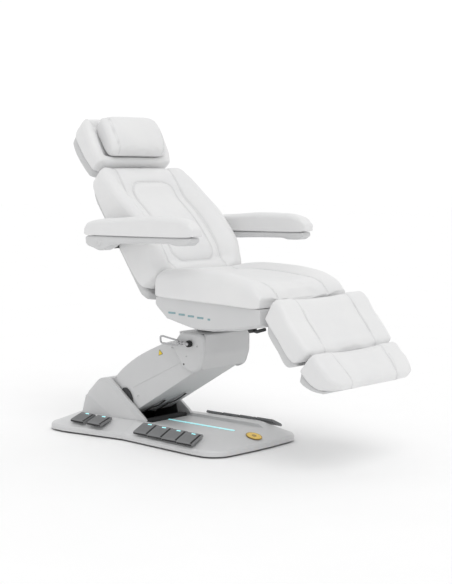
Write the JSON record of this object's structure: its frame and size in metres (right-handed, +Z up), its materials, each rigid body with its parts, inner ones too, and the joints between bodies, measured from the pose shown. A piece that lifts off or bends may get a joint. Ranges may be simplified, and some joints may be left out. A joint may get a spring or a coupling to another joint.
{
  "type": "facial treatment bed",
  "caption": "Electric facial treatment bed: weighted base with foot pedals, hinged lift arm, swivel head and padded seat, back, head, leg and foot sections with folding armrests.",
  "frame": {"origin": "floor point under the centre of the base, at the underside of the rubber mat", "axes": "+X towards the occupant's feet, +Y towards the occupant's left, +Z up; stored with the back raised as in use"},
  "size_m": [1.836, 0.87, 1.5701],
  "materials": {
    "upholstery": "satin white synthetic leather",
    "shell_plastic": "light grey moulded, satin",
    "pedal_plastic": "mid grey moulded",
    "frame_steel": "black powder coat",
    "bright_metal": "polished",
    "black_rubber": "matt",
    "light_strip": "translucent diffuser, lit"
  },
  "bodies": {
    "base": {"base_plate": "frame_steel", "front_base_cover": "shell_plastic", "rear_base_cover": "shell_plastic", "anti_slip_mat": "black_rubber", "floor_light_strip": "light_strip", "tower_frame": "frame_steel", "lower_pivot_shaft": "bright_metal", "right_tower_cover": "shell_plastic", "left_tower_cover": "shell_plastic", "rear_tower_cover": "shell_plastic", "power_inlet": "black_rubber", "lift_motor": "frame_steel", "cable_boot": "black_rubber"},
    "lift_arm": {"right_arm_cover": "shell_plastic", "left_arm_cover": "shell_plastic", "arm_frame": "frame_steel"},
    "link": {"levelling_link": "frame_steel"},
    "head": {"head_frame": "frame_steel", "upper_pivot_shaft": "bright_metal", "right_head_cover": "shell_plastic", "left_head_cover": "shell_plastic", "head_front_cover": "shell_plastic", "turntable_bearing": "frame_steel"},
    "lever": {"swivel_lever": "bright_metal"},
    "swivel": {"swivel_frame": "frame_steel"},
    "seat": {"seat_pan": "shell_plastic", "seat_brackets": "frame_steel", "seat_cushion": "upholstery", "back_hinge_shaft": "bright_metal", "leg_hinge_shaft": "bright_metal"},
    "backrest": {"back_shell": "shell_plastic", "back_frame": "frame_steel", "back_cushion": "upholstery", "headrest_blade": "frame_steel"},
    "headrest": {"headrest_shell": "shell_plastic", "headrest_cushion": "upholstery"},
    "pillow": {"head_pillow": "upholstery"},
    "right_armrest": {"right_armrest_tray": "shell_plastic", "right_armrest_pad": "upholstery"},
    "left_armrest": {"left_armrest_tray": "shell_plastic", "left_armrest_pad": "upholstery"},
    "legrest": {"leg_shell": "shell_plastic", "leg_cushion": "upholstery"},
    "footrest": {"foot_shell": "shell_plastic", "foot_cushion": "upholstery", "right_slide_rod": "bright_metal", "left_slide_rod": "bright_metal"},
    "front_pedal_right_1": {"front_pedal_right_1": "pedal_plastic"},
    "front_pedal_right_2": {"front_pedal_right_2": "pedal_plastic"},
    "front_pedal_right_3": {"front_pedal_right_3": "pedal_plastic"},
    "front_pedal_right_4": {"front_pedal_right_4": "pedal_plastic"},
    "front_pedal_left_1": {"front_pedal_left_1": "pedal_plastic"},
    "front_pedal_left_2": {"front_pedal_left_2": "pedal_plastic"},
    "front_pedal_left_3": {"front_pedal_left_3": "pedal_plastic"},
    "front_pedal_left_4": {"front_pedal_left_4": "pedal_plastic"},
    "rear_pedal_right_1": {"rear_pedal_right_1": "pedal_plastic"},
    "rear_pedal_right_2": {"rear_pedal_right_2": "pedal_plastic"},
    "rear_pedal_left_1": {"rear_pedal_left_1": "pedal_plastic"},
    "rear_pedal_left_2": {"rear_pedal_left_2": "pedal_plastic"}
  },
  "joints": [
    {"name": "lift", "type": "hinge", "parent": "base", "child": "lift_arm", "pos_m": [-0.175, 0, 0.19], "axis": [0, -1, 0], "range_deg": [-26, 9]},
    {"name": "head_levelling", "type": "hinge", "parent": "lift_arm", "child": "head", "pos_m": [0.25, 0, 0.436], "axis": [0, -1, 0], "range_deg": [-10, 27]},
    {"name": "link_swing", "type": "hinge", "parent": "base", "child": "link", "pos_m": [-0.199, 0, 0.232], "axis": [0, -1, 0], "range_deg": [-27, 10]},
    {"name": "brake_lever", "type": "hinge", "parent": "head", "child": "lever", "pos_m": [0.295, -0.172, 0.494], "axis": [0, -1, 0], "range_deg": [-6, 25]},
    {"name": "swivel_turn", "type": "hinge", "parent": "head", "child": "swivel", "pos_m": [0.286, 0, 0.56], "axis": [0, 0, 1], "range_deg": [-120, 120]},
    {"name": "seat_tilt", "type": "hinge", "parent": "swivel", "child": "seat", "pos_m": [0.31, 0, 0.6], "axis": [0, -1, 0], "range_deg": [0, 10]},
    {"name": "backrest_recline", "type": "hinge", "parent": "seat", "child": "backrest", "pos_m": [0.17, 0, 0.7], "axis": [0, -1, 0], "range_deg": [0, 50]},
    {"name": "headrest_tilt", "type": "hinge", "parent": "backrest", "child": "headrest", "pos_m": [-0.2894, 0, 1.25469], "axis": [0, -1, 0], "range_deg": [-10, 35]},
    {"name": "pillow_lift", "type": "slide", "parent": "headrest", "child": "pillow", "axis": [0.8161, 0, 0.5779], "range_m": [0, 0.12]},
    {"name": "right_armrest_fold", "type": "hinge", "parent": "backrest", "child": "right_armrest", "pos_m": [-0.048, -0.396, 0.95], "axis": [0, -1, 0], "range_deg": [-30, 85]},
    {"name": "left_armrest_fold", "type": "hinge", "parent": "backrest", "child": "left_armrest", "pos_m": [-0.048, 0.396, 0.95], "axis": [0, -1, 0], "range_deg": [-30, 85]},
    {"name": "legrest_tilt", "type": "hinge", "parent": "seat", "child": "legrest", "pos_m": [0.852, 0, 0.65], "axis": [0, -1, 0], "range_deg": [-10, 30]},
    {"name": "footrest_slide", "type": "slide", "parent": "legrest", "child": "footrest", "axis": [0.6548, 0, -0.7558], "range_m": [0, 0.1]},
    {"name": "front_pedal_right_1_press", "type": "hinge", "parent": "base", "child": "front_pedal_right_1", "pos_m": [0.084, -0.224, 0.094], "axis": [1, 0, 0], "range_deg": [0, 4], "stiffness_Nm_per_rad": 20, "springref_deg": -1.15},
    {"name": "front_pedal_right_2_press", "type": "hinge", "parent": "base", "child": "front_pedal_right_2", "pos_m": [0.1885, -0.23267, 0.094], "axis": [1, 0, 0], "range_deg": [0, 4], "stiffness_Nm_per_rad": 20, "springref_deg": -1.15},
    {"name": "front_pedal_right_3_press", "type": "hinge", "parent": "base", "child": "front_pedal_right_3", "pos_m": [0.293, -0.24135, 0.094], "axis": [1, 0, 0], "range_deg": [0, 4], "stiffness_Nm_per_rad": 20, "springref_deg": -1.15},
    {"name": "front_pedal_right_4_press", "type": "hinge", "parent": "base", "child": "front_pedal_right_4", "pos_m": [0.3975, -0.25002, 0.094], "axis": [1, 0, 0], "range_deg": [0, 4], "stiffness_Nm_per_rad": 20, "springref_deg": -1.15},
    {"name": "front_pedal_left_1_press", "type": "hinge", "parent": "base", "child": "front_pedal_left_1", "pos_m": [0.084, 0.224, 0.094], "axis": [-1, 0, 0], "range_deg": [0, 4], "stiffness_Nm_per_rad": 20, "springref_deg": -1.15},
    {"name": "front_pedal_left_2_press", "type": "hinge", "parent": "base", "child": "front_pedal_left_2", "pos_m": [0.1885, 0.23267, 0.094], "axis": [-1, 0, 0], "range_deg": [0, 4], "stiffness_Nm_per_rad": 20, "springref_deg": -1.15},
    {"name": "front_pedal_left_3_press", "type": "hinge", "parent": "base", "child": "front_pedal_left_3", "pos_m": [0.293, 0.24135, 0.094], "axis": [-1, 0, 0], "range_deg": [0, 4], "stiffness_Nm_per_rad": 20, "springref_deg": -1.15},
    {"name": "front_pedal_left_4_press", "type": "hinge", "parent": "base", "child": "front_pedal_left_4", "pos_m": [0.3975, 0.25002, 0.094], "axis": [-1, 0, 0], "range_deg": [0, 4], "stiffness_Nm_per_rad": 20, "springref_deg": -1.15},
    {"name": "rear_pedal_right_1_press", "type": "hinge", "parent": "base", "child": "rear_pedal_right_1", "pos_m": [-0.228, -0.236, 0.094], "axis": [1, 0, 0], "range_deg": [0, 4], "stiffness_Nm_per_rad": 20, "springref_deg": -1.15},
    {"name": "rear_pedal_right_2_press", "type": "hinge", "parent": "base", "child": "rear_pedal_right_2", "pos_m": [-0.349, -0.236, 0.094], "axis": [1, 0, 0], "range_deg": [0, 4], "stiffness_Nm_per_rad": 20, "springref_deg": -1.15},
    {"name": "rear_pedal_left_1_press", "type": "hinge", "parent": "base", "child": "rear_pedal_left_1", "pos_m": [-0.228, 0.236, 0.094], "axis": [-1, 0, 0], "range_deg": [0, 4], "stiffness_Nm_per_rad": 20, "springref_deg": -1.15},
    {"name": "rear_pedal_left_2_press", "type": "hinge", "parent": "base", "child": "rear_pedal_left_2", "pos_m": [-0.349, 0.236, 0.094], "axis": [-1, 0, 0], "range_deg": [0, 4], "stiffness_Nm_per_rad": 20, "springref_deg": -1.15}
  ],
  "couplings": [
    {"joint": "head_levelling", "follows": "lift", "ratio": -1},
    {"joint": "link_swing", "follows": "lift", "ratio": 1}
  ]
}
